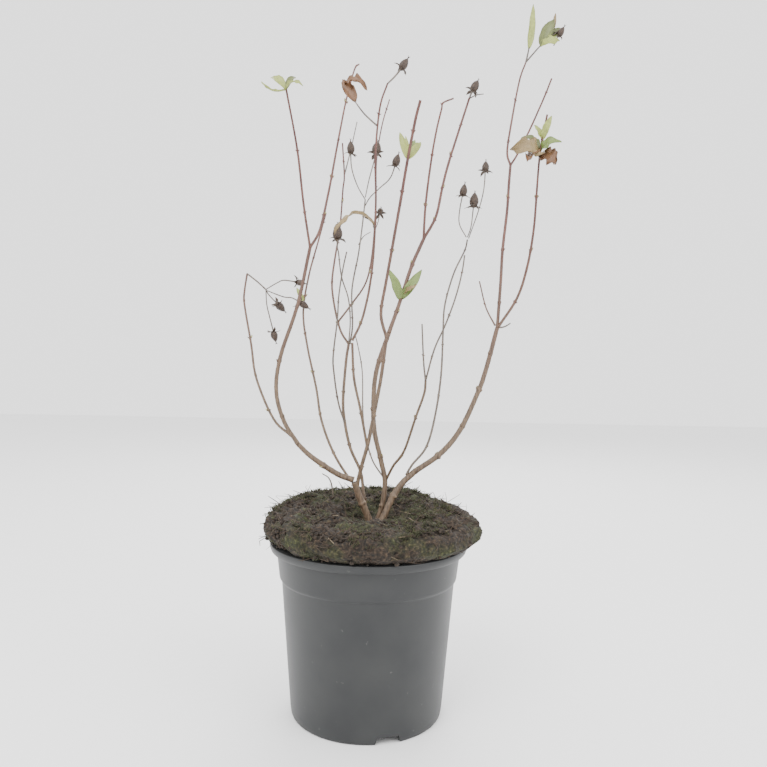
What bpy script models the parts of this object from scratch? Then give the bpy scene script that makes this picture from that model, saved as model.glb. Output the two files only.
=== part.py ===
"""A potted tall tutsan in late winter: bare stems, dry capsules and a few leaves in a round nursery pot.

Metres, +Z up. The origin is the centre of the pot's flat underside. +X is to the right, +Y is away.
"""

import math

import bmesh
import bpy
from mathutils import Vector, noise

MM = 0.001
GAP = 0.35 * MM
# A limb is cut back to clear its neighbours only this near its foot, in millimetres
TRIM_REACH = 45

# The pot: outer radii and heights in millimetres
POT_HEIGHT = 146.0
BASE_RADIUS = 64.0
BAND_FOOT_HEIGHT = 115.4
WALL_TOP_RADIUS = 73.4
BAND_RADIUS = 75.2
BAND_TOP_RADIUS = 78.0
LIP_RADIUS = 84.0
LIP_DEPTH = 6.5
WALL = 1.6
CENTRE_DISC_RADIUS = 44.0
CHANNEL_HEIGHT = 6.5
FOOT_RING = 4.0
NOTCH_WIDTH = 21.0
NOTCH_HEIGHT = 6.0
NOTCH_TURNS = (17.0, 137.0, 257.0)
POT_STEPS = 32

# The root ball: its top stands above the rim and hangs over it
CROWN_HEIGHT = 162.0
CROWN_FLAT_RADIUS = 22.0
SHOULDER_RADIUS = 82.0
OVERHANG_RADIUS = 88.0
SOIL_STEPS = 32

# The limbs are drawn from the front, in the upright plane through the pot's axis, and then
# moved along the line from this eye point to the depth that each limb has
EYE = Vector((0.0102, -0.624, 0.300))

# name, what it grows from, depth at the tip, girth at foot and tip, and points (across, up), in millimetres
LIMBS = (
    ("left_stump", None, -8, 5.8, 5.6, ((0, 162), (-4, 172), (-9, 183), (-13, 195))),
    ("left_bough", "left_stump", -16, 5.2, 3.9, ((-14, 197), (-28, 202), (-50, 216), (-62, 227))),
    ("left_bough_upper", "left_bough", -30, 3.7, 2.7,
     ((-62, 227), (-74, 246), (-81, 271), (-78, 301), (-64, 345), (-54, 394))),
    ("left_leader", "left_bough_upper", -62, 2.0, 1.5, ((-54, 394), (-60, 430), (-66, 476), (-76, 526))),
    ("left_inner_leader", "left_bough_upper", 15, 2.2, 1.3,
     ((-54, 394), (-46, 409), (-39, 441), (-33, 476), (-26, 515), (-19, 543), (-15, 548))),
    ("outer_left_shoot", "left_bough", 35, 2.3, 1.7,
     ((-68, 234), (-83, 248), (-98, 282), (-103, 312), (-109, 345), (-109, 357), (-107, 371))),
    ("left_seed_twig", "outer_left_shoot", 26, 1.5, 1.3, ((-107, 371), (-99, 365), (-91, 358))),
    ("inner_left_shoot", "left_stump", 60, 2.3, 1.5,
     ((-17, 197), (-31, 219), (-42, 247), (-47, 275), (-55, 310), (-59, 339), (-55, 369), (-47, 400), (-41, 423))),
    ("centre_left_stem", None, 40, 2.9, 2.5,
     ((-1, 162), (-5, 184), (-8, 204), (-17, 224), (-22, 245), (-24, 265), (-22, 298), (-20, 313))),
    ("back_leader", "centre_left_stem", 92, 2.1, 1.4,
     ((-20, 313), (-27, 324), (-32, 342), (-35, 363), (-33, 384), (-29, 411), (-27, 443), (-26, 455), (-28, 482))),
    ("capsule_twig", "centre_left_stem", 16, 1.3, 1.2, ((-20, 313), (-19, 333), (-21, 352), (-27, 370), (-30, 391))),
    ("grey_twig", "centre_left_stem", 52, 1.6, 1.3,
     ((-19, 313), (-17, 329), (-18, 359), (-13, 389), (-10, 414), (-8, 435))),
    ("thin_left_shoot", "centre_left_stem", -22, 1.7, 1.2,
     ((-22, 245), (-28, 263), (-32, 287), (-33, 303), (-30, 333), (-29, 354), (-26, 376), (-23, 391))),
    ("middle_bough", "left_stump", -38, 3.4, 2.8, ((-11, 192), (-7, 210), (-2, 229), (3, 256), (8, 285), (12, 319))),
    ("middle_riser", "middle_bough", -32, 2.3, 2.1, ((-3, 227), (-9, 257), (-15, 284), (-17, 314))),
    ("front_leader", "middle_riser", -58, 2.0, 1.4,
     ((-17, 316), (-9, 334), (-3, 362), (0, 393), (1, 435), (0, 473), (3, 512), (9, 532))),
    ("rear_leader", "back_leader", 98, 1.8, 1.2,
     ((-29, 332), (-18, 347), (-6, 366), (-1, 393), (1, 435), (1, 468), (5, 497), (11, 519))),
    ("main_stem", None, 8, 4.6, 3.9, ((7, 162), (11, 176), (13, 196), (9, 215), (3, 240), (2, 264), (4, 291), (14, 323))),
    ("main_stem_upper", "main_stem", 24, 3.5, 3.1, ((14, 323), (23, 350), (32, 379), (42, 403))),
    ("main_leader", "main_stem_upper", 78, 2.6, 2.0,
     ((42, 403), (52, 422), (57, 447), (61, 464), (68, 488), (75, 511), (78, 521))),
    ("main_side_leader", "main_stem_upper", 2, 2.3, 1.5,
     ((42, 403), (43, 431), (47, 468), (51, 494), (55, 512), (56, 517), (65, 521))),
    ("middle_leader", "middle_bough", -92, 2.6, 2.1,
     ((12, 319), (7, 339), (11, 367), (17, 404), (23, 442), (27, 468), (33, 502), (37, 519))),
    ("grey_shoot", "main_stem", 62, 1.5, 1.0, ((12, 199), (2, 214), (-4, 234), (-7, 255), (-8, 289), (-12, 311), (-15, 322))),
    ("right_inner_bough", "main_stem", -46, 2.3, 2.0, ((14, 198), (20, 210), (29, 223), (38, 251), (45, 272), (46, 283))),
    ("right_inner_left", "right_inner_bough", -72, 1.5, 1.2, ((46, 283), (44, 299), (42, 331))),
    ("right_inner_right", "right_inner_bough", -76, 1.5, 1.2,
     ((46, 283), (53, 310), (62, 331), (70, 354), (75, 375), (77, 390))),
    ("right_stump", None, 4, 6.0, 5.2, ((11, 162), (18, 179), (26, 193), (38, 205))),
    ("right_bough", "right_stump", 12, 5.0, 3.7, ((38, 205), (60, 221), (76, 241), (88, 267), (96, 289), (106, 329))),
    ("right_inner_shoot", "right_stump", 58, 2.1, 1.5,
     ((31, 202), (36, 211), (48, 227), (55, 255), (59, 287), (60, 322), (61, 347), (68, 374), (77, 394), (79, 403))),
    ("right_riser", "right_bough", 30, 2.9, 2.4, ((106, 329), (108, 368), (109, 395), (112, 427), (113, 449), (114, 466))),
    ("right_top_leader", "right_riser", 62, 2.0, 1.5, ((114, 466), (111, 477), (114, 502), (120, 537), (125, 552))),
    ("right_cut_leader", "right_riser", 8, 1.8, 1.4, ((114, 466), (120, 476), (130, 497), (141, 523), (147, 539))),
    ("right_outer_leader", "right_bough", -40, 2.5, 1.5,
     ((107, 330), (122, 354), (130, 380), (135, 413), (137, 450), (139, 479), (144, 509))),
    ("right_twig", "right_bough", 34, 1.5, 1.2, ((104, 331), (96, 346), (90, 368))),
)

# Depth of the feet of the limbs that rise from the root ball, in millimetres
FOOT_DEPTHS = {"left_stump": -3, "centre_left_stem": 9, "main_stem": 5, "right_stump": -3}

# Capsules on their stalks, and single leaves on theirs: name, limb that carries it, depth at the far end,
# widths of stalk and capsule, and points from the limb to the far end
SEED_HEADS = (
    ("seed_head_crown_front", "front_leader", -58, 1.3, 8.0, ((9, 532), (14, 537), (19, 543), (23, 549))),
    ("seed_head_grey_left", "grey_twig", 44, 1.0, 9.0, ((-8, 435), (-15, 447), (-20, 462), (-21, 479))),
    ("seed_head_grey_middle", "grey_twig", 66, 1.0, 11.0, ((-8, 437), (-5, 452), (-1, 468), (1, 479))),
    ("seed_head_grey_right", "grey_twig", 36, 1.0, 9.0, ((-9, 428), (-4, 437), (4, 445), (13, 454), (18, 469))),
    ("seed_head_twig_end", "capsule_twig", 16, 1.2, 11.0, ((-30, 391), (-31, 396), (-31, 408))),
    ("seed_head_outer_upper", "left_seed_twig", 18, 1.0, 7.0, ((-91, 358), (-81, 364), (-75, 366), (-61, 364))),
    ("seed_head_outer_inner", "left_seed_twig", 36, 1.0, 9.0, ((-91, 358), (-88, 353), (-78, 343))),
    ("seed_head_outer_right", "left_seed_twig", 30, 1.0, 8.0, ((-90, 357), (-76, 352), (-68, 351), (-58, 345))),
    ("seed_head_outer_lower", "left_seed_twig", 26, 1.0, 8.0, ((-91, 358), (-90, 345), (-87, 333), (-83, 318))),
    ("seed_head_right_left", "right_inner_shoot", 50, 1.0, 9.0, ((78, 405), (72, 416), (72, 428), (75, 445))),
    ("seed_head_right_middle", "right_inner_shoot", 60, 1.0, 11.0, ((79, 405), (82, 415), (84, 437))),
    ("seed_head_right_back", "right_inner_shoot", 78, 1.0, 9.0, ((80, 404), (88, 428), (92, 446), (93, 465))),
    ("seed_head_main_tip", "main_leader", 80, 1.6, 10.0, ((78, 521), (80, 526), (83, 532))),
    ("leaf_front_upper", "front_leader", -48, 1.6, 9.0, ((1, 497), (-12, 509), (-21, 521), (-26, 532))),
    ("leaf_top_upright", "right_top_leader", 62, 2.0, 8.0, ((125, 552), (128, 570), (130, 587), (130, 600))),
    ("leaves_top_right", "right_top_leader", 56, 2.0, 16.0, ((125, 552), (130, 558), (137, 566), (149, 584))),
    ("leaves_outer_right", "right_outer_leader", -36, 2.4, 14.0, ((138, 474), (147, 477), (156, 486))),
    ("leaves_main_right", "main_stem_upper", 20, 2.0, 8.0, ((24, 352), (33, 364), (41, 377))),
)

# Where the wide part is a leaf and not a capsule, its length in millimetres
BLADES = {
    "leaf_front_upper": 17, "leaf_top_upright": 42, "leaves_top_right": 24, "leaves_outer_right": 18,
    "leaves_main_right": 25,
}

# name, limb that carries it, depth at the far end, width and thickness of the mass, and its two ends
LEAF_MASSES = (
    ("leaves_left_leader_tip", "left_leader", -62, 11.0, 20.0, ((-97, 532), (-64, 532))),
    ("leaf_front_arc", "front_leader", -60, 8.0, 9.0, ((-3, 418), (-30, 413))),
    ("leaves_middle_node_left", "middle_leader", -92, 9.0, 8.0, ((24, 471), (20, 492))),
    ("leaves_middle_node_right", "middle_leader", -74, 9.0, 8.0, ((29, 469), (38, 484))),
    ("leaves_main_left", "main_stem_upper", -2, 11.0, 8.0, ((20, 352), (13, 376))),
    ("leaves_outer_left", "right_outer_leader", -44, 15.0, 18.0, ((134, 476), (114, 484))),
)


# Masses that lie across the tip of their limb, and not to one side of it
SPREAD_BOTH_WAYS = ("leaves_left_leader_tip",)


def clear_scene():
    for old in list(bpy.data.objects):
        bpy.data.objects.remove(old)


def collection(name):
    made = bpy.data.collections.new(name)
    bpy.context.scene.collection.children.link(made)
    return made


def material(name, colour, roughness):
    made = bpy.data.materials.new(name)
    made.use_nodes = True
    shader = made.node_tree.nodes["Principled BSDF"]
    shader.inputs["Base Color"].default_value = (*colour, 1)
    shader.inputs["Roughness"].default_value = roughness
    shader.inputs["Metallic"].default_value = 0
    return made


def add(name, data, parts, finish):
    piece = bpy.data.objects.new(name, data)
    data.materials.append(finish)
    parts.objects.link(piece)
    return piece


def smooth_points(points, steps):
    """Points on a Catmull-Rom curve through the given ones."""
    ends = [2 * points[0] - points[1], *points, 2 * points[-1] - points[-2]]
    found = []
    for a, b, c, d in zip(ends, ends[1:], ends[2:], ends[3:]):
        for step in range(steps):
            t = step / steps
            bend = (2 * a - 5 * b + 4 * c - d) * t * t + (3 * b - a - 3 * c + d) * t ** 3
            found.append(0.5 * (2 * b + (c - a) * t + bend))
    return [*found, points[-1].copy()]


def at_depth(point, depth):
    """The place at this depth that the eye sees where the drawn point is."""
    return EYE + (point - EYE) * ((depth - EYE.y) / -EYE.y)


def nearest(path, point):
    """The closest point of a path, as seen from the front, and the distance."""
    best, where = math.inf, path[0]
    for a, b in zip(path, path[1:]):
        along = b - a
        t = max(0.0, min(1.0, (point - a).dot(along) / max(along.length_squared, 1e-12)))
        found = a + along * t
        if (point - found).length < best:
            best, where = (point - found).length, found
    return where, best


def drawn(points):
    return [Vector((x * MM, 0, z * MM)) for x, z in points]


class Limb:
    """A limb's centre line at its true place, with a radius at each of its points."""

    def __init__(self, path, radii):
        self.path = path
        self.radii = radii

    def clearance(self, point):
        """How far a point is from the surface, with flat ends."""
        best = math.inf
        last = len(self.path) - 2
        for i, (a, b, ra, rb) in enumerate(zip(self.path, self.path[1:], self.radii, self.radii[1:])):
            along = b - a
            t = (point - a).dot(along) / max(along.length_squared, 1e-12)
            held = max(0.0, min(1.0, t))
            radius = ra + (rb - ra) * held
            if (i == 0 and t < 0) or (i == last and t > 1):
                side = (point - a - along * t).length - radius
                gap = math.hypot(abs(t - held) * along.length, max(0.0, side))
            else:
                gap = (point - a - along * held).length - radius
            best = min(best, gap)
        return best


def line_of(points, carrier, tip_depth, steps, start=0.0):
    """A limb's centre line, which starts on its carrier and leans evenly to its own depth."""
    flat = smooth_points(drawn(points), steps)
    if carrier:
        start = min(carrier.path, key=lambda p: (at_depth_front(p) - flat[0]).length).y
    runs = [0.0]
    for a, b in zip(flat, flat[1:]):
        runs.append(runs[-1] + (b - a).length)
    return [at_depth(p, start + (tip_depth * MM - start) * run / runs[-1]) for p, run in zip(flat, runs)]


def at_depth_front(place):
    """Where a place is drawn in the upright plane through the pot's axis."""
    return EYE + (place - EYE) * (-EYE.y / (place.y - EYE.y))


def rim(point, along, radius):
    """Points round a limb's section, and its middle."""
    side = along.orthogonal().normalized() * radius
    other = along.normalized().cross(side)
    turns = [2 * math.pi * step / 8 for step in range(8)]
    return [point] + [point + side * math.cos(t) + other * math.sin(t) for t in turns]


def trimmed(path, radii, others):
    """Cuts back the foot until it clears every limb that is already there."""
    parts = 24
    fine, wide, lines = [], [], []
    for a, b, ra, rb in zip(path, path[1:], radii, radii[1:]):
        for step in range(parts):
            fine.append(a.lerp(b, step / parts))
            wide.append(ra + (rb - ra) * step / parts)
            lines.append(b - a)
    blocked = [
        index for index, (point, radius, along) in enumerate(zip(fine, wide, lines))
        if (point - path[0]).length < TRIM_REACH * MM
        and any(other.clearance(spot) < GAP for other in others for spot in rim(point, along, radius))
    ]
    index = blocked[-1] + 1 if blocked else 0
    keep = index // parts + 1
    if (path[keep] - fine[index]).length < radii[keep] and keep < len(path) - 1:
        keep += 1
    return [fine[index], *path[keep:]], [wide[index], *radii[keep:]]


def tube(name, path, radii, parts, finish):
    curve = bpy.data.curves.new(name, "CURVE")
    curve.dimensions = "3D"
    curve.bevel_depth = 1.0
    curve.bevel_resolution = 2
    curve.use_fill_caps = True
    spline = curve.splines.new("POLY")
    spline.points.add(len(path) - 1)
    for point, place, radius in zip(spline.points, path, radii):
        point.co = (*place, 1)
        point.radius = radius
    return add(name, curve, parts, finish)


def build_limbs(parts, finish):
    made = {}
    for name, grows_from, depth, foot, tip, points in LIMBS:
        carrier = made.get(grows_from)
        path = line_of(points, carrier, depth, 2, FOOT_DEPTHS.get(name, 0) * MM)
        share = [index / (len(path) - 1) for index in range(len(path))]
        radii = [MM * (foot + (tip - foot) * s) / 2 for s in share]
        if carrier:
            path, radii = trimmed(path, radii, made.values())
        else:
            # The foot is cut level on the root ball, and flares a little
            path[0].z = CROWN_HEIGHT * MM + GAP
            path.insert(1, path[0] + Vector((0, 0, 2.5 * MM)))
            radii = [radii[0] * 1.18, radii[0] * 1.1, *radii[1:]]
        made[name] = Limb(path, radii)
        tube(name, path, radii, parts, finish)
    return made


def build_seed_heads(limbs, parts, finish):
    """Each is one solid: a thin stalk that swells into the capsule."""
    taken = list(limbs.values())
    for name, carried_by, depth, stalk, capsule, points in SEED_HEADS:
        path = line_of(points, limbs[carried_by], depth, 3)
        wide = MM * BLADES.get(name, 1.3 * capsule)
        swells = [math.sin(math.pi * min(1.0, (path[-1] - p).length / wide)) for p in path]
        radii = [MM * (stalk + (capsule - stalk) * swell) / 2 for swell in swells]
        path, radii = trimmed(path, radii, taken)
        taken.append(Limb(path, radii))
        tube(name, path, radii, parts, finish)
    return taken


def build_leaf_masses(limbs, taken, parts, finish):
    """Each is an uneven egg that lies between its two ends and clears the limbs."""
    for order, (name, carried_by, depth, width, thick, ends) in enumerate(LEAF_MASSES):
        carrier = limbs[carried_by]
        near, far = drawn(ends)
        far = at_depth(far, depth * MM)
        if name not in SPREAD_BOTH_WAYS:
            seat = min(carrier.path, key=lambda p: (at_depth_front(p) - near).length)
            near = nearest(carrier.path, at_depth(near, seat.y))[0]
        else:
            near = at_depth(near, depth * MM)
        mesh = bpy.data.meshes.new(name)
        shape = bmesh.new()
        bmesh.ops.create_icosphere(shape, subdivisions=2, radius=1.0)
        turn = (far - near).to_track_quat("X", "Z")
        half = Vector(((far - near).length / 2, thick * MM / 2, width * MM / 2))
        centre = (near + far) / 2
        for vertex in shape.verts:
            bump = 1 + 0.16 * noise.noise(vertex.co * 1.7 + Vector((order * 5.1, 0, 0)))
            local = Vector((vertex.co.x * half.x, vertex.co.y * half.y, vertex.co.z * half.z)) * min(bump, 1.0)
            place = centre + turn @ local
            # Drawn in towards the middle wherever a limb or a seed head is in the way
            for _ in range(70):
                if all(other.clearance(place) > 1.6 * GAP for other in taken):
                    break
                place = centre.lerp(place, 0.96)
            vertex.co = place
        taken.append(Limb([near, centre, far], [half.z * 0.2, half.z, half.z * 0.2]))
        shape.to_mesh(mesh)
        shape.free()
        add(name, mesh, parts, finish)


def turned(name, profile, steps, parts, finish):
    """A closed profile of (radius, height) turned about the pot's axis."""
    mesh = bpy.data.meshes.new(name)
    count = len(profile)
    mesh.from_pydata([(r * MM, 0, z * MM) for r, z in profile], [(i, (i + 1) % count) for i in range(count)], [])
    piece = add(name, mesh, parts, finish)
    screw = piece.modifiers.new("turn", "SCREW")
    screw.axis = "Z"
    screw.steps = steps
    screw.render_steps = steps
    screw.use_merge_vertices = True
    screw.merge_threshold = 1e-5
    return piece


def build_pot(parts, cutters, finish):
    top, lip = POT_HEIGHT, LIP_DEPTH
    outer = [
        (BAND_TOP_RADIUS - WALL, top), (LIP_RADIUS - 1, top), (LIP_RADIUS, top - 1), (LIP_RADIUS - 1.5, top - lip),
        (BAND_TOP_RADIUS, top - lip), (BAND_RADIUS, BAND_FOOT_HEIGHT), (WALL_TOP_RADIUS, BAND_FOOT_HEIGHT - 1.5),
        (BASE_RADIUS + 0.8, 6), (BASE_RADIUS, 1), (BASE_RADIUS - 1, 0), (BASE_RADIUS - FOOT_RING, 0),
        (BASE_RADIUS - FOOT_RING, CHANNEL_HEIGHT), (CENTRE_DISC_RADIUS, CHANNEL_HEIGHT), (CENTRE_DISC_RADIUS, 0), (0, 0),
    ]
    inner = [
        (0, WALL), (CENTRE_DISC_RADIUS - WALL, WALL), (CENTRE_DISC_RADIUS - WALL, CHANNEL_HEIGHT + WALL),
        (BASE_RADIUS - 1, CHANNEL_HEIGHT + WALL), (WALL_TOP_RADIUS - WALL, BAND_FOOT_HEIGHT - 1.5),
        (BAND_RADIUS - WALL, BAND_FOOT_HEIGHT + 1),
    ]
    pot = turned("pot", outer + inner, POT_STEPS, parts, finish)
    for order, degrees in enumerate(NOTCH_TURNS):
        turn = math.radians(degrees)
        bpy.ops.mesh.primitive_cube_add(size=1)
        cutter = bpy.context.active_object
        cutter.name = f"notch_cutter_{order}"
        cutter.scale = (NOTCH_WIDTH * MM, 9 * MM, 2 * NOTCH_HEIGHT * MM)
        reach = (BASE_RADIUS - 1) * MM
        cutter.location = (reach * math.sin(turn), -reach * math.cos(turn), 0)
        cutter.rotation_euler = (0, 0, turn)
        for owner in list(cutter.users_collection):
            owner.objects.unlink(cutter)
        cutters.objects.link(cutter)
        cutter.hide_render = True
        cutter.display_type = "WIRE"
        cut = pot.modifiers.new(f"notch_{order}", "BOOLEAN")
        cut.operation = "DIFFERENCE"
        cut.object = cutter


def build_root_ball(parts, finish):
    """Rings from the floor of the pot up to the level crown, uneven only where they are outside the pot."""
    free = GAP / MM
    inside_top = BAND_TOP_RADIUS - WALL - free - 0.4
    rings = [
        (CENTRE_DISC_RADIUS - WALL - 1, WALL + free, 0), (CENTRE_DISC_RADIUS - WALL - 1, CHANNEL_HEIGHT + WALL + free, 0),
        (BASE_RADIUS - 2, CHANNEL_HEIGHT + WALL + free, 0),
        (WALL_TOP_RADIUS - WALL - 1, BAND_FOOT_HEIGHT - 1.5, 0), (inside_top, POT_HEIGHT - 0.5, 0),
        (inside_top, POT_HEIGHT + free, 0), (LIP_RADIUS, POT_HEIGHT + free + 0.4, 0.3),
        (OVERHANG_RADIUS, POT_HEIGHT + 5, 1.0), (OVERHANG_RADIUS - 1, POT_HEIGHT + 11, 1.0),
        (SHOULDER_RADIUS, POT_HEIGHT + 16, 1.0), (70, CROWN_HEIGHT + 5, 1.0), (52, CROWN_HEIGHT + 7, 1.0),
        (CROWN_FLAT_RADIUS + 10, CROWN_HEIGHT + 4, 0.6), (CROWN_FLAT_RADIUS, CROWN_HEIGHT, 0),
    ]
    mesh = bpy.data.meshes.new("root_ball")
    shape = bmesh.new()
    loops = []
    for radius, height, rough in rings:
        loop = []
        for step in range(SOIL_STEPS):
            turn = 2 * math.pi * step / SOIL_STEPS
            lump = noise.noise(Vector((2.2 * math.cos(turn), 2.2 * math.sin(turn), radius * 0.06)))
            back = 0.5 + 0.5 * math.sin(turn)
            r = radius + rough * 5 * lump
            z = height + max(0.0, rough * (5 * lump + 7 * back)) if radius < OVERHANG_RADIUS - 2 else height
            loop.append(shape.verts.new((r * MM * math.cos(turn), r * MM * math.sin(turn), z * MM)))
        loops.append(loop)
    for low, high in zip(loops, loops[1:]):
        for step in range(SOIL_STEPS):
            after = (step + 1) % SOIL_STEPS
            shape.faces.new((low[step], low[after], high[after], high[step]))
    shape.faces.new(list(reversed(loops[0])))
    shape.faces.new(loops[-1])
    shape.to_mesh(mesh)
    shape.free()
    add("root_ball", mesh, parts, finish)


def main():
    clear_scene()
    parts = collection("potted_tutsan")
    cutters = collection("cutters")
    build_pot(parts, cutters, material("pot_plastic", (0.06, 0.063, 0.066), 0.45))
    build_root_ball(parts, material("peat_and_moss", (0.035, 0.028, 0.015), 0.95))
    limbs = build_limbs(parts, material("bark", (0.18, 0.10, 0.06), 0.75))
    taken = build_seed_heads(limbs, parts, material("dry_capsule", (0.06, 0.035, 0.02), 0.7))
    build_leaf_masses(limbs, taken, parts, material("leaf", (0.38, 0.42, 0.13), 0.5))


main()
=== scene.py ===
"""Looks of the potted tutsan: bark, buds, dry capsules, old and new leaves, mossy peat and a plastic pot."""

import math
import random

import bmesh
import bpy
from mathutils import Matrix, Vector, noise


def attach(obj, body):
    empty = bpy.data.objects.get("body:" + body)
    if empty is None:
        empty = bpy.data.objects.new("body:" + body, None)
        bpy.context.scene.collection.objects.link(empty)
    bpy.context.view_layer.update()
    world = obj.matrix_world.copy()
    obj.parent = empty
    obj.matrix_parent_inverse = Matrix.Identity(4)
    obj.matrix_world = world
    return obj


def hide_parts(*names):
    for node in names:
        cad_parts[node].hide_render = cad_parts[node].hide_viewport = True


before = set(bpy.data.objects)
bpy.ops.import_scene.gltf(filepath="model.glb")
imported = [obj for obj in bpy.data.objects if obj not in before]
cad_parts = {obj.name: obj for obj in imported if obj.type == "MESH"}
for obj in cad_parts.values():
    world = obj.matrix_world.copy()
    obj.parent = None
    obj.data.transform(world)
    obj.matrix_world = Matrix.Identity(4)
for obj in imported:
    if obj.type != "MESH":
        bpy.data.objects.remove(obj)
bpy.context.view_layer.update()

MM = 0.001
SEED = 11
RANDOM = random.Random(SEED)

# The photograph's frame, and the camera fitted to the pot's rim, band and base
FRAME_PIXELS = 767
FOCAL_PIXELS = 733
PITCH_DOWN = math.radians(1.84)
ROLL = math.radians(1.02)

# The pot, in millimetres
POT_HEIGHT = 146.0
BASE_RADIUS = 64.0
BAND_FOOT_HEIGHT = 115.4
WALL_TOP_RADIUS = 73.4
BAND_RADIUS = 75.2
BAND_TOP_RADIUS = 78.0
LIP_RADIUS = 84.0
LIP_DEPTH = 6.5
WALL = 1.6
CENTRE_DISC_RADIUS = 44.0
CHANNEL_HEIGHT = 6.5
FOOT_RING = 4.0
NOTCH_WIDTH = 21.0
NOTCH_HEIGHT = 6.0
NOTCH_DEPTH = 9.0
NOTCH_TOP_SHARE = 0.84
NOTCH_FOOT_SHARE = 1.12
NOTCH_TURNS = (17.0, 137.0, 257.0)
POT_STEPS = 160
SHARP_ANGLE = math.radians(40)

# The root ball's crown, in millimetres
CROWN_HEIGHT = 162.0
CROWN_FLAT_RADIUS = 22.0
SHOULDER_RADIUS = 82.0
OVERHANG_RADIUS = 88.0
RIGHT_OVERHANG = 7.0
EDGE_RAGGEDNESS = 3.2
LUMP_HEIGHT = 3.6
GRAIN_HEIGHT = 1.1
SOIL_SIDES = 260
SOIL_ROWS = 96
TOP_SHARE = 0.7

# Litter on the root ball: how many of each, and their sizes in millimetres
CRUMBS = 1500
CRUMB_SIZES = (0.8, 2.6)
FIBRES = 1000
FIBRES_PER_STRAW = 24
FIBRE_LENGTHS = (5, 15)
FIBRE_RADII = (0.18, 0.42)
FIBRE_OVERHANG = 5
MOSS_TUFTS = 1500
SHOOTS_PER_TUFT = 5
MOSS_LENGTHS = (1.5, 3.6)
MOSS_RADII = (0.34, 0.30, 0.08)
BARE_GROUND = -0.05

# The limbs are drawn from the front, in the upright plane through the pot's axis, and then
# moved along the line from this eye point to the depth that each limb has
EYE = Vector((0.0102, -0.624, 0.300))

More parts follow.
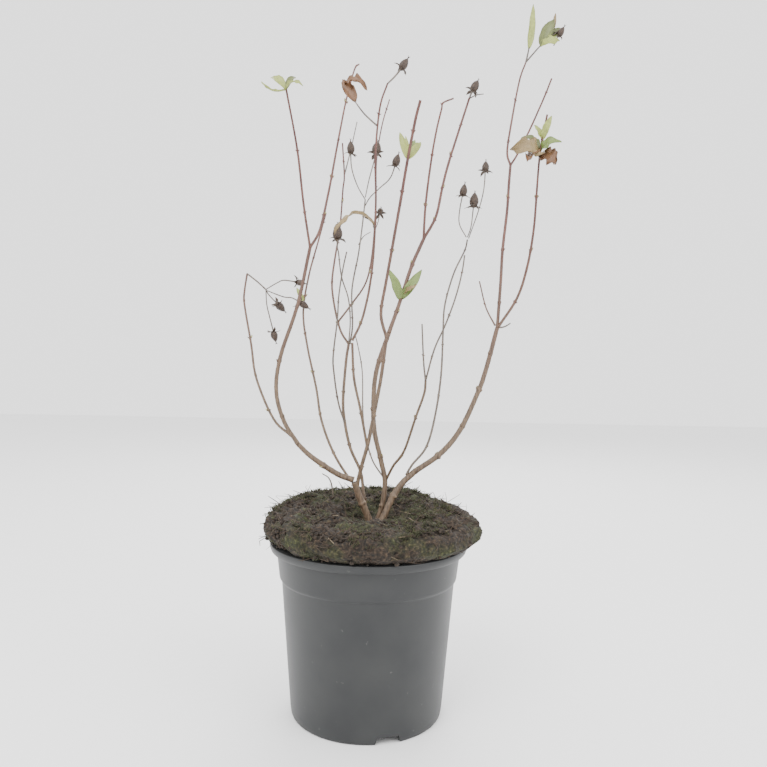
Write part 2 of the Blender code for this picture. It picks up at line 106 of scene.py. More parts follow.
# name, what it grows from, depth at the tip, girth at foot and tip, and points (across, up), in millimetres
LIMBS = (
    ("left_stump", None, -8, 5.8, 5.6, ((0, 162), (-4, 172), (-9, 183), (-13, 195))),
    ("left_bough", "left_stump", -16, 5.2, 3.9, ((-14, 197), (-28, 202), (-50, 216), (-62, 227))),
    ("left_bough_upper", "left_bough", -30, 3.7, 2.7,
     ((-62, 227), (-74, 246), (-81, 271), (-78, 301), (-64, 345), (-54, 394))),
    ("left_leader", "left_bough_upper", -62, 2.0, 1.5, ((-54, 394), (-60, 430), (-66, 476), (-76, 526))),
    ("left_inner_leader", "left_bough_upper", 15, 2.2, 1.3,
     ((-54, 394), (-46, 409), (-39, 441), (-33, 476), (-26, 515), (-19, 543), (-15, 548))),
    ("outer_left_shoot", "left_bough", 35, 2.3, 1.7,
     ((-68, 234), (-83, 248), (-98, 282), (-103, 312), (-109, 345), (-109, 357), (-107, 371))),
    ("left_seed_twig", "outer_left_shoot", 26, 1.5, 1.3, ((-107, 371), (-99, 365), (-91, 358))),
    ("inner_left_shoot", "left_stump", 60, 2.3, 1.5,
     ((-17, 197), (-31, 219), (-42, 247), (-47, 275), (-55, 310), (-59, 339), (-55, 369), (-47, 400),
      (-41, 423))),
    ("centre_left_stem", None, 40, 2.9, 2.5,
     ((-1, 162), (-5, 184), (-8, 204), (-17, 224), (-22, 245), (-24, 265), (-22, 298), (-20, 313))),
    ("back_leader", "centre_left_stem", 92, 2.1, 1.4,
     ((-20, 313), (-27, 324), (-32, 342), (-35, 363), (-33, 384), (-29, 411), (-27, 443), (-26, 455),
      (-28, 482))),
    ("capsule_twig", "centre_left_stem", 16, 1.3, 1.2,
     ((-20, 313), (-19, 333), (-21, 352), (-27, 370), (-30, 391))),
    ("grey_twig", "centre_left_stem", 52, 1.6, 1.3,
     ((-19, 313), (-17, 329), (-18, 359), (-13, 389), (-10, 414), (-8, 435))),
    ("thin_left_shoot", "centre_left_stem", -22, 1.7, 1.2,
     ((-22, 245), (-28, 263), (-32, 287), (-33, 303), (-30, 333), (-29, 354), (-26, 376), (-23, 391))),
    ("middle_bough", "left_stump", -38, 3.4, 2.8,
     ((-11, 192), (-7, 210), (-2, 229), (3, 256), (8, 285), (12, 319))),
    ("middle_riser", "middle_bough", -32, 2.3, 2.1, ((-3, 227), (-9, 257), (-15, 284), (-17, 314))),
    ("front_leader", "middle_riser", -58, 2.0, 1.4,
     ((-17, 316), (-9, 334), (-3, 362), (0, 393), (1, 435), (0, 473), (3, 512), (9, 532))),
    ("rear_leader", "back_leader", 98, 1.8, 1.2,
     ((-29, 332), (-18, 347), (-6, 366), (-1, 393), (1, 435), (1, 468), (5, 497), (11, 519))),
    ("main_stem", None, 8, 4.6, 3.9,
     ((7, 162), (11, 176), (13, 196), (9, 215), (3, 240), (2, 264), (4, 291), (14, 323))),
    ("main_stem_upper", "main_stem", 24, 3.5, 3.1, ((14, 323), (23, 350), (32, 379), (42, 403))),
    ("main_leader", "main_stem_upper", 78, 2.6, 2.0,
     ((42, 403), (52, 422), (57, 447), (61, 464), (68, 488), (75, 511), (78, 521))),
    ("main_side_leader", "main_stem_upper", 2, 2.3, 1.5,
     ((42, 403), (43, 431), (47, 468), (51, 494), (55, 512), (56, 517), (65, 521))),
    ("middle_leader", "middle_bough", -92, 2.6, 2.1,
     ((12, 319), (7, 339), (11, 367), (17, 404), (23, 442), (27, 468), (33, 502), (37, 519))),
    ("grey_shoot", "main_stem", 62, 1.5, 1.0,
     ((12, 199), (2, 214), (-4, 234), (-7, 255), (-8, 289), (-12, 311), (-15, 322))),
    ("right_inner_bough", "main_stem", -46, 2.3, 2.0,
     ((14, 198), (20, 210), (29, 223), (38, 251), (45, 272), (46, 283))),
    ("right_inner_left", "right_inner_bough", -72, 1.5, 1.2, ((46, 283), (44, 299), (42, 331))),
    ("right_inner_right", "right_inner_bough", -76, 1.5, 1.2,
     ((46, 283), (53, 310), (62, 331), (70, 354), (75, 375), (77, 390))),
    ("right_stump", None, 4, 6.0, 5.2, ((11, 162), (18, 179), (26, 193), (38, 205))),
    ("right_bough", "right_stump", 12, 5.0, 3.7,
     ((38, 205), (60, 221), (76, 241), (88, 267), (96, 289), (106, 329))),
    ("right_inner_shoot", "right_stump", 58, 2.1, 1.5,
     ((31, 202), (36, 211), (48, 227), (55, 255), (59, 287), (60, 322), (61, 347), (68, 374), (77, 394),
      (79, 403))),
    ("right_riser", "right_bough", 30, 2.9, 2.4,
     ((106, 329), (108, 368), (109, 395), (112, 427), (113, 449), (114, 466))),
    ("right_top_leader", "right_riser", 62, 2.0, 1.5,
     ((114, 466), (111, 477), (114, 502), (120, 537), (125, 552))),
    ("right_cut_leader", "right_riser", 8, 1.8, 1.4,
     ((114, 466), (120, 476), (130, 497), (141, 523), (147, 539))),
    ("right_outer_leader", "right_bough", -40, 2.5, 1.5,
     ((107, 330), (122, 354), (130, 380), (135, 413), (137, 450), (139, 479), (144, 509))),
    ("right_twig", "right_bough", 34, 1.5, 1.2, ((104, 331), (96, 346), (90, 368))),
)

# Depth of the feet of the limbs that rise from the root ball, in millimetres
FOOT_DEPTHS = {"left_stump": -3, "centre_left_stem": 9, "main_stem": 5, "right_stump": -3}

# Capsules on their stalks: name, limb that carries it, depth at the far end, widths of stalk and capsule,
# and points from the limb to the far end
SEED_HEADS = (
    ("seed_head_crown_front", "front_leader", -58, 1.3, 8.0, ((9, 532), (14, 537), (19, 543), (23, 549))),
    ("seed_head_grey_left", "grey_twig", 44, 1.0, 9.0, ((-8, 435), (-15, 447), (-20, 462), (-21, 479))),
    ("seed_head_grey_middle", "grey_twig", 66, 1.0, 11.0, ((-8, 437), (-5, 452), (-1, 468), (1, 479))),
    ("seed_head_grey_right", "grey_twig", 36, 1.0, 9.0,
     ((-9, 428), (-4, 437), (4, 445), (13, 454), (18, 469))),
    ("seed_head_twig_end", "capsule_twig", 16, 1.2, 11.0, ((-30, 391), (-31, 396), (-31, 408))),
    ("seed_head_outer_upper", "left_seed_twig", 18, 1.0, 7.0,
     ((-91, 358), (-81, 364), (-75, 366), (-61, 364))),
    ("seed_head_outer_inner", "left_seed_twig", 36, 1.0, 9.0, ((-91, 358), (-88, 353), (-78, 343))),
    ("seed_head_outer_right", "left_seed_twig", 30, 1.0, 8.0,
     ((-90, 357), (-76, 352), (-68, 351), (-58, 345))),
    ("seed_head_outer_lower", "left_seed_twig", 26, 1.0, 8.0,
     ((-91, 358), (-90, 345), (-87, 333), (-83, 318))),
    ("seed_head_right_left", "right_inner_shoot", 50, 1.0, 9.0, ((78, 405), (72, 416), (72, 428), (75, 445))),
    ("seed_head_right_middle", "right_inner_shoot", 60, 1.0, 11.0, ((79, 405), (82, 415), (84, 437))),
    ("seed_head_right_back", "right_inner_shoot", 78, 1.0, 9.0, ((80, 404), (88, 428), (92, 446), (93, 465))),
    ("seed_head_main_tip", "main_leader", 80, 1.6, 10.0, ((78, 521), (80, 526), (83, 532))),
)

# Limbs with the dull grey bark of old, dry twigs; the rest are brown at the foot and red above
GREY_LIMBS = (
    "grey_twig", "grey_shoot", "capsule_twig", "left_seed_twig", "right_inner_left",
    "right_inner_right", "right_inner_shoot", "thin_left_shoot",
)
RED_HEIGHTS = (0.27, 0.43)

# Bark rings, and the swollen nodes where leaves grew, in millimetres along a limb
CURVE_STEPS = 6
RING_SPACING = 1.1
TWIG_SPACING = 1.0
BARK_SIDES = 10
BARK_ROUGHNESS = 0.09
BARK_SEED_STEP = 3.7
BURIED_FOOT = 4
NODE_SPACINGS = (33, 47)
FIRST_NODES = (16, 30)
NODE_SWELL = 0.22
NODE_LENGTH = 1.1
NODE_MARK = 0.56
NODE_FREE_FOOT = 6
NODE_FREE_TIP = 3
LEAST_NODE_RINGS = 6

# Widening at a limb's start, as a share of its girth, and the length over which it fades
FOOT_FLARE = (0.35, 4)
JOINT_FLARE = (0.12, 2.5)

# Stubs of old leaf stalks, and buds, each with steps of (share of the length, share of the girth)
STUB_REACHES = (0.8, 1.9)
STUB_LEANS = (0.3, 0.9)
STUB_SEAT = 0.75
STUB_GIRTH = 0.55
LEAST_STUB_RADIUS = 0.4
GREY_STUB_SHARE = 0.7
STUB_STEPS = ((0.0, 1.0), (0.35, 0.8), (0.7, 0.55), (1.0, 0.35))
BUD_SHARE = 0.22
BUD_LENGTHS = (1.8, 3.4)
BUD_RADIUS = 0.75
BUD_LEAN = 0.35
BUD_STEPS = ((0.0, 0.6), (0.25, 1.0), (0.6, 0.8), (0.85, 0.45), (1.0, 0.1))

# Capsules: length for each unit of width, rings, sides, and the sizes of styles and sepals
CAPSULE_PROPORTION = 1.35
CAPSULE_ROWS = 13
CAPSULE_SIDES = 18
VALVES = 3
STYLE_LENGTH = 2.6
STYLE_SPREAD = 1.1
STYLE_RADII = (0.45, 0.32, 0.22, 0.12)
STYLE_SHARES = (0.0, 0.4, 0.75, 1.0)
SEPALS = 5
SEPAL_REACHES = (0.7, 0.95)
SEPAL_DROPS = (-0.45, 0.25)
SEPAL_ARCHES = (0.6, 1.6)
BLADE_HALF_THICKNESS = 0.13

# Extra fine twigs: carrier, depth at the tip, width, and points
TWIGS = (
    ("back_leader", 96, 1.1, ((-26, 455), (-21, 476), (-16, 500))),
    ("grey_twig", 58, 0.9, ((-13, 397), (-9, 404), (-3, 408))),
    ("front_leader", -48, 1.2, ((1, 497), (-6, 503), (-12, 509), (-21, 521))),
    ("front_leader", -60, 1.0, ((0, 411), (-2, 417), (-8, 420))),
    ("right_top_leader", 62, 1.3, ((125, 552), (127, 562), (129, 573), (130, 580))),
    ("right_top_leader", 58, 1.3, ((125, 552), (130, 558), (137, 566), (145, 573), (151, 578))),
    ("right_outer_leader", -40, 1.2, ((138, 474), (130, 478), (124, 481))),
    ("right_bough", 18, 1.4, ((106, 329), (112, 330), (117, 333))),
    ("main_leader", 84, 1.1, ((78, 521), (84, 524), (90, 525))),
)

# Leaves: carrier, kind, width, arch, how far the blade is turned to the front, and base and tip as
# (across, up, depth), in millimetres
LEAVES = (
    ("left_leader", "lime", 9, -4, 0.4, (-76, 527, -61), (-97, 532, -72)),
    ("left_leader", "lime", 9, 4, 0.5, (-76, 527, -61), (-89, 535, -52)),
    ("left_leader", "lime", 10, 4, 0.4, (-76, 527, -61), (-62, 529, -68)),
    ("left_leader", "olive", 7, 3, 0.6, (-76, 527, -61), (-68, 536, -54)),
    ("front_leader", "brown", 12, 2, 1.0, (-17, 517, -50), (-29, 535, -44)),
    ("front_leader", "brown", 11, 6, 0.7, (-27, 531, -46), (-8, 528, -54)),
    ("front_leader", "tan", 13, 10, 0.35, (0, 415, -55), (-34, 409, -64)),
    ("middle_leader", "lime", 7, 2, 0.8, (27, 469, -72), (20, 492, -78)),
    ("middle_leader", "lime", 6, -2, 0.5, (27, 469, -72), (25, 489, -64)),
    ("middle_leader", "lime", 8, 2, 0.8, (28, 469, -72), (38, 484, -70)),
    ("middle_leader", "green", 5, 2, 0.5, (28, 469, -72), (33, 486, -66)),
    ("main_stem_upper", "green", 11, 3, 0.9, (23, 351, 14), (13, 377, 4)),
    ("main_stem_upper", "green", 11, 3, 0.9, (24, 351, 14), (41, 377, 20)),
    ("main_stem_upper", "tan", 6, 1, 0.6, (26, 355, 14), (37, 364, 8)),
    ("right_top_leader", "lime", 9, 2, 0.9, (127, 562, 62), (130, 600, 62)),
    ("right_top_leader", "olive", 14, 3, 0.9, (137, 565, 59), (148, 588, 54)),
    ("right_top_leader", "lime", 14, 3, 0.9, (137, 566, 59), (153, 570, 50)),
    ("right_top_leader", "olive", 12, 3, 0.8, (140, 568, 59), (156, 580, 66)),
    ("right_top_leader", "lime", 9, 3, 0.6, (139, 568, 59), (141, 584, 70)),
    ("right_top_leader", "tan", 4, 1, 0.7, (148, 580, 58), (149, 593, 58)),
    ("right_outer_leader", "tan", 21, 7, 0.9, (138, 477, -36), (113, 479, -46)),
    ("right_outer_leader", "brown", 20, 6, 0.8, (138, 475, -36), (152, 467, -30)),
    ("right_outer_leader", "green", 15, 5, 0.7, (138, 477, -36), (157, 486, -44)),
    ("right_outer_leader", "olive", 13, 5, 0.6, (138, 478, -36), (122, 488, -26)),
    ("right_outer_leader", "brown", 12, 4, 0.4, (138, 476, -36), (128, 469, -52)),
    ("right_outer_leader", "lime", 8, 2, 0.8, (141, 488, -38), (148, 508, -40)),
    ("right_outer_leader", "lime", 6, 2, 0.6, (139, 488, -38), (133, 500, -34)),
    ("inner_left_shoot", "lime", 6, 1, 0.8, (-60, 348, 40), (-65, 360, 38)),
)
SEAT_REACH = 8
CRINKLED_LEAVES = ("brown", "tan")
LEAF_SHADE = 0.72
LEAF_COLOURS = {
    "lime": (0.30, 0.34, 0.085), "green": (0.16, 0.22, 0.055), "olive": (0.13, 0.15, 0.045),
    "tan": (0.24, 0.17, 0.075), "brown": (0.16, 0.075, 0.032),
}

# The fallen leaf and the dead stick on the root ball, as drawn from the front, and their depths
FALLEN_LEAF = (9, 153)
FALLEN_LEAF_REACH = (13, -2, -2)
FALLEN_LEAF_DEPTH = -40
STICK = ((-30, 168), (-32, 189), (-35, 198), (-41, 202))
STICK_DEPTH = 45

# Colours of each grain from dark to light, as places on a ramp with plain base colours
GRAINS = {
    "bud": ((0.35, (0.16, 0.10, 0.05)), (0.65, (0.34, 0.36, 0.12))),
    "dry_capsule": (
        (0.3, (0.010, 0.005, 0.003)), (0.55, (0.036, 0.019, 0.010)), (0.75, (0.08, 0.046, 0.024)),
    ),
    "sepal": ((0.3, (0.014, 0.007, 0.004)), (0.7, (0.06, 0.036, 0.018))),
    "peat": ((0.32, (0.004, 0.003, 0.002)), (0.52, (0.020, 0.013, 0.008)), (0.72, (0.065, 0.043, 0.026))),
    "moss_patch": ((0.3, (0.007, 0.008, 0.003)), (0.55, (0.026, 0.028, 0.009)), (0.75, (0.08, 0.08, 0.03))),
    "crumb": ((0.3, (0.004, 0.003, 0.002)), (0.7, (0.035, 0.022, 0.013))),
    "fibre": ((0.3, (0.012, 0.007, 0.004)), (0.7, (0.06, 0.038, 0.022))),
    "straw": ((0.3, (0.08, 0.06, 0.035)), (0.7, (0.18, 0.14, 0.09))),
    "moss": ((0.3, (0.012, 0.013, 0.005)), (0.7, (0.060, 0.062, 0.022))),
    "pot": ((0.3, (0.017, 0.018, 0.019)), (0.7, (0.026, 0.027, 0.027))),
    "dust": ((0.0, (0.07, 0.07, 0.065)), (1.0, (0.10, 0.10, 0.095))),
}

# Bark colours: dark and light at the foot, then dark and light above
BROWN_BARK = ((0.040, 0.024, 0.014), (0.135, 0.088, 0.052), (0.062, 0.020, 0.016), (0.125, 0.050, 0.036))
GREY_BARK = ((0.048, 0.036, 0.027), (0.13, 0.10, 0.075), (0.065, 0.052, 0.043), (0.15, 0.125, 0.10))

# The studio: lights as name, place in metres, power and size
FLOOR_SIZE = 6
FLOOR_COLOUR = (0.86, 0.86, 0.86, 1)
SKY_STRENGTH = 2.1
LIT_PLACE = Vector((0, 0, 0.25))
LIGHTS = (
    ("key", (-0.7, -1.2, 1.5), 30, 1.0),
    ("fill", (1.1, -0.8, 1.0), 12, 1.0),
    ("back", (0.2, 1.3, 1.4), 22, 1.2),
)
SENSOR_WIDTH = 36

# Capsules that no solid stands for: carrier, depth at the far end, widths of stalk and capsule, and points
MORE_HEADS = (
    ("rear_leader", 92, 1.0, 8.0, ((0, 408), (3, 416), (5, 426))),
    ("right_top_leader", 58, 1.0, 8.0, ((148, 566), (150, 571), (154, 578))),
)


def material(name, roughness, **sockets):
    """A new material with its nodes, links and shader, and values for sockets named with underscores."""
    made = bpy.data.materials.new(name)
    made.use_nodes = True
    shader = made.node_tree.nodes["Principled BSDF"]
    shader.inputs["Roughness"].default_value = roughness
    for socket, value in sockets.items():
        shader.inputs[socket.replace("_", " ")].default_value = value
    return made, made.node_tree.nodes, made.node_tree.links, shader


def noise_at(nodes, links, scale, detail=6.0, stretch=(1, 1, 1)):
    """Noise in the object's own coordinates."""
    where = nodes.new("ShaderNodeTexCoord")
    mapping = nodes.new("ShaderNodeMapping")
    mapping.inputs["Scale"].default_value = stretch
    texture = nodes.new("ShaderNodeTexNoise")
    texture.inputs["Scale"].default_value = scale
    texture.inputs["Detail"].default_value = detail
    links.new(where.outputs["Object"], mapping.inputs["Vector"])
    links.new(mapping.outputs["Vector"], texture.inputs["Vector"])
    return texture.outputs["Fac"]


def ramp(nodes, links, source, *stops):
    made = nodes.new("ShaderNodeValToRGB")
    colours = made.color_ramp.elements
    while len(colours) < len(stops):
        colours.new(0.5)
    for element, (position, colour) in zip(colours, stops):
        element.position = position
        element.color = (*colour, 1)
    links.new(source, made.inputs["Fac"])
    return made.outputs["Color"]


def blend(nodes, links, share, low, high):
    mix = nodes.new("ShaderNodeMix")
    mix.data_type = "RGBA"
    links.new(share, mix.inputs["Factor"])
    links.new(low, mix.inputs["A"])
    links.new(high, mix.inputs["B"])
    return mix.outputs["Result"]


def bump(nodes, links, shader, source, distance, strength=0.8):
    made = nodes.new("ShaderNodeBump")
    made.inputs["Distance"].default_value = distance
    made.inputs["Strength"].default_value = strength
    links.new(source, made.inputs["Height"])
    links.new(made.outputs["Normal"], shader.inputs["Normal"])


def bark_material(name, foot, foot_light, top, top_light):
    """Streaked bark that turns from the foot's colours to the top's between two heights."""
    made, nodes, links, shader = material(name, 0.6)
    streaks = noise_at(nodes, links, 900, 5, (1, 1, 0.12))
    patches = noise_at(nodes, links, 160, 3, (1, 1, 0.5))
    low = ramp(nodes, links, streaks, (0.3, foot), (0.62, foot_light))
    high = ramp(nodes, links, patches, (0.35, top), (0.7, top_light))
    where = nodes.new("ShaderNodeTexCoord")
    split = nodes.new("ShaderNodeSeparateXYZ")
    links.new(where.outputs["Object"], split.inputs["Vector"])
    height = nodes.new("ShaderNodeMapRange")
    height.inputs["From Min"].default_value = RED_HEIGHTS[0]
    height.inputs["From Max"].default_value = RED_HEIGHTS[1]
    links.new(split.outputs["Z"], height.inputs["Value"])
    links.new(blend(nodes, links, height.outputs["Result"], low, high), shader.inputs["Base Color"])
    bump(nodes, links, shader, streaks, 0.0003)
    return made


def speckled(name, roughness, scale, distance, stops):
    """A matt finish whose colour and relief follow one fine noise."""
    made, nodes, links, shader = material(name, roughness)
    grain = noise_at(nodes, links, scale)
    links.new(ramp(nodes, links, grain, *stops), shader.inputs["Base Color"])
    bump(nodes, links, shader, grain, distance)
    return made


def soil_material():
    made, nodes, links, shader = material("peat_and_moss", 0.95)
    grain = noise_at(nodes, links, 420, 8)
    patches = noise_at(nodes, links, 34, 4)
    peat = ramp(nodes, links, grain, *GRAINS["peat"])
    moss = ramp(nodes, links, grain, *GRAINS["moss_patch"])
    share = ramp(nodes, links, patches, (0.46, (0, 0, 0)), (0.58, (1, 1, 1)))
    links.new(blend(nodes, links, share, peat, moss), shader.inputs["Base Color"])
    bump(nodes, links, shader, grain, 0.002, 1.0)
    return made


def pot_material():
    made, nodes, links, shader = material("pot_plastic", 0.42, Specular_IOR_Level=0.35)
    cloud = noise_at(nodes, links, 26, 5)
    fine = noise_at(nodes, links, 1400, 3)
    dust = noise_at(nodes, links, 190, 2)
    body = ramp(nodes, links, cloud, *GRAINS["pot"])
    specks = ramp(nodes, links, dust, (0.72, (0, 0, 0)), (0.80, (0.5, 0.5, 0.5)))
    pale = ramp(nodes, links, cloud, *GRAINS["dust"])
    links.new(blend(nodes, links, specks, body, pale), shader.inputs["Base Color"])
    rough = nodes.new("ShaderNodeMapRange")
    rough.inputs["To Min"].default_value = 0.34
    rough.inputs["To Max"].default_value = 0.52
    links.new(cloud, rough.inputs["Value"])
    links.new(rough.outputs["Result"], shader.inputs["Roughness"])
    bump(nodes, links, shader, fine, 0.00006, 0.5)
    return made


class Mesher:
    """Collects vertices and faces of many small shapes for one joined mesh."""

    def __init__(self):
        self.points = []
        self.faces = []

    def grid(self, rows, around, cap=False):
        """Joins rows of equally many points, closed round each row where around is set."""
        base = len(self.points)
        wide = len(rows[0])
        for row in rows:
            self.points.extend(row)
        for level in range(len(rows) - 1):
            low = base + level * wide
            for column in range(wide if around else wide - 1):
                here, following = low + column, low + (column + 1) % wide
                self.faces.append((here, following, wide + following, wide + here))
        if cap:
            last = base + (len(rows) - 1) * wide
            self.faces.append(tuple(base + column for column in reversed(range(wide))))
            self.faces.append(tuple(last + column for column in range(wide)))

    def finish(self, name, finish):
        """One smooth-shaded piece, with its faces turned outwards, that rides on the root."""
        mesh = bpy.data.meshes.new(name)
        mesh.from_pydata([tuple(p) for p in self.points], [], self.faces)
        mesh.materials.append(finish)
        shape = bmesh.new()
        shape.from_mesh(mesh)
        bmesh.ops.recalc_face_normals(shape, faces=shape.faces)
        shape.to_mesh(mesh)
        shape.free()
        mesh.shade_smooth()
        piece = bpy.data.objects.new(name, mesh)
        bpy.context.scene.collection.objects.link(piece)
        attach(piece, "root")
        return piece


def smooth_points(points, steps):
    """Points on a Catmull-Rom curve through the given ones."""
    ends = [2 * points[0] - points[1], *points, 2 * points[-1] - points[-2]]
    found = []
    for a, b, c, d in zip(ends, ends[1:], ends[2:], ends[3:]):
        for step in range(steps):
            t = step / steps
            bend = (2 * a - 5 * b + 4 * c - d) * t * t + (3 * b - a - 3 * c + d) * t ** 3
            found.append(0.5 * (2 * b + (c - a) * t + bend))
    return [*found, points[-1].copy()]


def at_depth(point, depth):
    """A point of the drawing's plane, moved along its line from the eye to this depth in metres."""
    return EYE + (point - EYE) * ((depth - EYE.y) / -EYE.y)


def as_drawn(place):
    """Where a place shows in the drawing's plane."""
    return EYE + (place - EYE) * (-EYE.y / (place.y - EYE.y))


def drawn(points):
    """Points of the drawing's plane from pairs in millimetres."""
    return [Vector((x * MM, 0, z * MM)) for x, z in points]


def nearest_on(path, flat):
    """The place on a path that shows nearest to a drawn point."""
    return min(path, key=lambda p: (as_drawn(p) - flat).length)


def line_of(points, carrier, tip_depth, steps, start=0.0):
    """A centre line that starts on its carrier and leans evenly to its own depth."""
    flat = smooth_points(drawn(points), steps)
    if carrier:
        start = nearest_on(carrier, flat[0]).y
    runs = [0.0]
    for a, b in zip(flat, flat[1:]):
        runs.append(runs[-1] + (b - a).length)
    return [at_depth(p, start + (tip_depth * MM - start) * run / runs[-1]) for p, run in zip(flat, runs)]


def respaced(path, spacing):
    """The same line with points about this far apart."""
    found = [path[0].copy()]
    for a, b in zip(path, path[1:]):
        parts = max(1, round((b - a).length / spacing))
        found += [a.lerp(b, (i + 1) / parts) for i in range(parts)]
    return found


def frames_along(path):
    """A tangent and two square directions at each point, carried along without twist."""
    side = None
    found = []
    for i, place in enumerate(path):
        along = (path[min(i + 1, len(path) - 1)] - path[max(i - 1, 0)]).normalized()
        side = along.orthogonal() if side is None else side - along * side.dot(along)
        side = side.normalized()
        found.append((place, along, side, along.cross(side)))
    return found


def tube(mesher, path, radii, sides, rough=0.0, seed=0.0):
    """A closed tube along a path, with lumps and ridges of this share of its radius."""
    rows = []
    for (place, along, side, other), radius in zip(frames_along(path), radii):
        row = []
        for step in range(sides):
            turn = 2 * math.pi * step / sides
            out = side * math.cos(turn) + other * math.sin(turn)
            lump = noise.noise((place + out * radius) * 700 + Vector((seed, 0, 0)))
            ridge = noise.noise(Vector((turn * 2.2, place.z * 90, seed)))
            row.append(place + out * radius * (1 + rough * (lump + 0.7 * ridge)))
        rows.append(row)
    mesher.grid(rows, True, True)


def bark_rings(path, foot, tip, flare):
    """The radius at each ring of a limb, and the numbers of the rings where its leaves grew."""
    spacing = RANDOM.uniform(*NODE_SPACINGS)
    first = RANDOM.uniform(*FIRST_NODES)
    last = RING_SPACING * len(path) - NODE_FREE_TIP
    flare_share, flare_length = flare
    radii, nodes = [], []
    for ring in range(len(path)):
        here = RING_SPACING * ring
        phase = (here - first) / spacing
        off = abs(phase - round(phase)) * spacing
        may_swell = NODE_FREE_FOOT < here < last
        swell = NODE_SWELL * math.exp(-((off / NODE_LENGTH) ** 2)) if may_swell else 0
        widening = flare_share * math.exp(-here / flare_length)
        girth = foot + (tip - foot) * ring / (len(path) - 1)
        radii.append(MM * girth / 2 * (1 + swell + widening))
        if off < NODE_MARK and may_swell and (not nodes or ring - nodes[-1] > LEAST_NODE_RINGS):
            nodes.append(ring)
    return radii, nodes


def build_limbs(barks):
    """Bark on every limb, with a pair of stubs or buds at each of its nodes."""
    paths = {}
    stubs, buds = Mesher(), Mesher()
    for order, (name, grows_from, depth, foot, tip, points) in enumerate(LIMBS):
        carrier = paths.get(grows_from)
        path = line_of(points, carrier, depth, CURVE_STEPS, FOOT_DEPTHS.get(name, 0) * MM)
        if not carrier:
            path.insert(0, path[0] - Vector((0, 0, BURIED_FOOT * MM)))
        path = respaced(path, RING_SPACING * MM)
        paths[name] = path
        radii, nodes = bark_rings(path, foot, tip, JOINT_FLARE if carrier else FOOT_FLARE)
        bark = Mesher()
        tube(bark, path, radii, BARK_SIDES, BARK_ROUGHNESS, order * BARK_SEED_STEP)
        grey = name in GREY_LIMBS
        piece = bark.finish(f"{name}_bark", barks["grey" if grey else "brown"])
        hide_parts(name)
        add_node_details(path, radii, nodes, order, grey, stubs, buds)
    stubs.finish("leaf_scars_and_stubs", barks["brown"])
    buds.finish("winter_buds", speckled("bud", 0.5, 700, 0.0002, GRAINS["bud"]))
    return paths


def add_node_details(path, radii, nodes, order, grey, stubs, buds):
    """Opposite pairs of stubs, some with a bud, each pair a quarter turn from the last."""
    lines = frames_along(path)
    for count, ring in enumerate(nodes):
        place, along, side, other = lines[ring]
        out = side if (count + order) % 2 else other
        for sign in (1, -1):
            way = out * sign
            start = place + way * radii[ring] * STUB_SEAT
            pick = RANDOM.random()
            reach = RANDOM.uniform(*STUB_REACHES) * MM * (GREY_STUB_SHARE if grey else 1.0)
            lean = along * RANDOM.uniform(*STUB_LEANS) + way
            line = [start + lean * reach * share for share, _ in STUB_STEPS]
            base = max(radii[ring] * STUB_GIRTH, LEAST_STUB_RADIUS * MM)
            tube(stubs, line, [base * girth for _, girth in STUB_STEPS], 6, 0.1, ring)
            if pick < BUD_SHARE and not grey:
                grow = RANDOM.uniform(*BUD_LENGTHS) * MM
                up = (along + way * BUD_LEAN).normalized()
                bud = [line[1] + up * grow * share for share, _ in BUD_STEPS]
                tube(buds, bud, [BUD_RADIUS * MM * girth for _, girth in BUD_STEPS], 6)


def stalk_line(points, carrier, depth):
    """A fine twig's or stalk's line, with evenly spaced points."""
    return respaced(line_of(points, carrier, depth, CURVE_STEPS), TWIG_SPACING * MM)


def build_twigs(paths, finish):
    """Fine twigs that no solid stands for, and a dead stick in the root ball."""
    twigs = Mesher()
    for order, (name, depth, width, points) in enumerate(TWIGS):
        path = stalk_line(points, paths[name], depth)
        radii = [MM * width / 2 * (1.2 - 0.4 * i / len(path)) for i in range(len(path))]
        tube(twigs, path, radii, 8, 0.1, order)
    stick = [at_depth(p, STICK_DEPTH * MM) for p in smooth_points(drawn(STICK), 8)]
    tube(twigs, stick, [MM * (0.9 - 0.02 * i) for i in range(len(stick))], 8, 0.2, 3)
    twigs.finish("fine_twigs", finish)


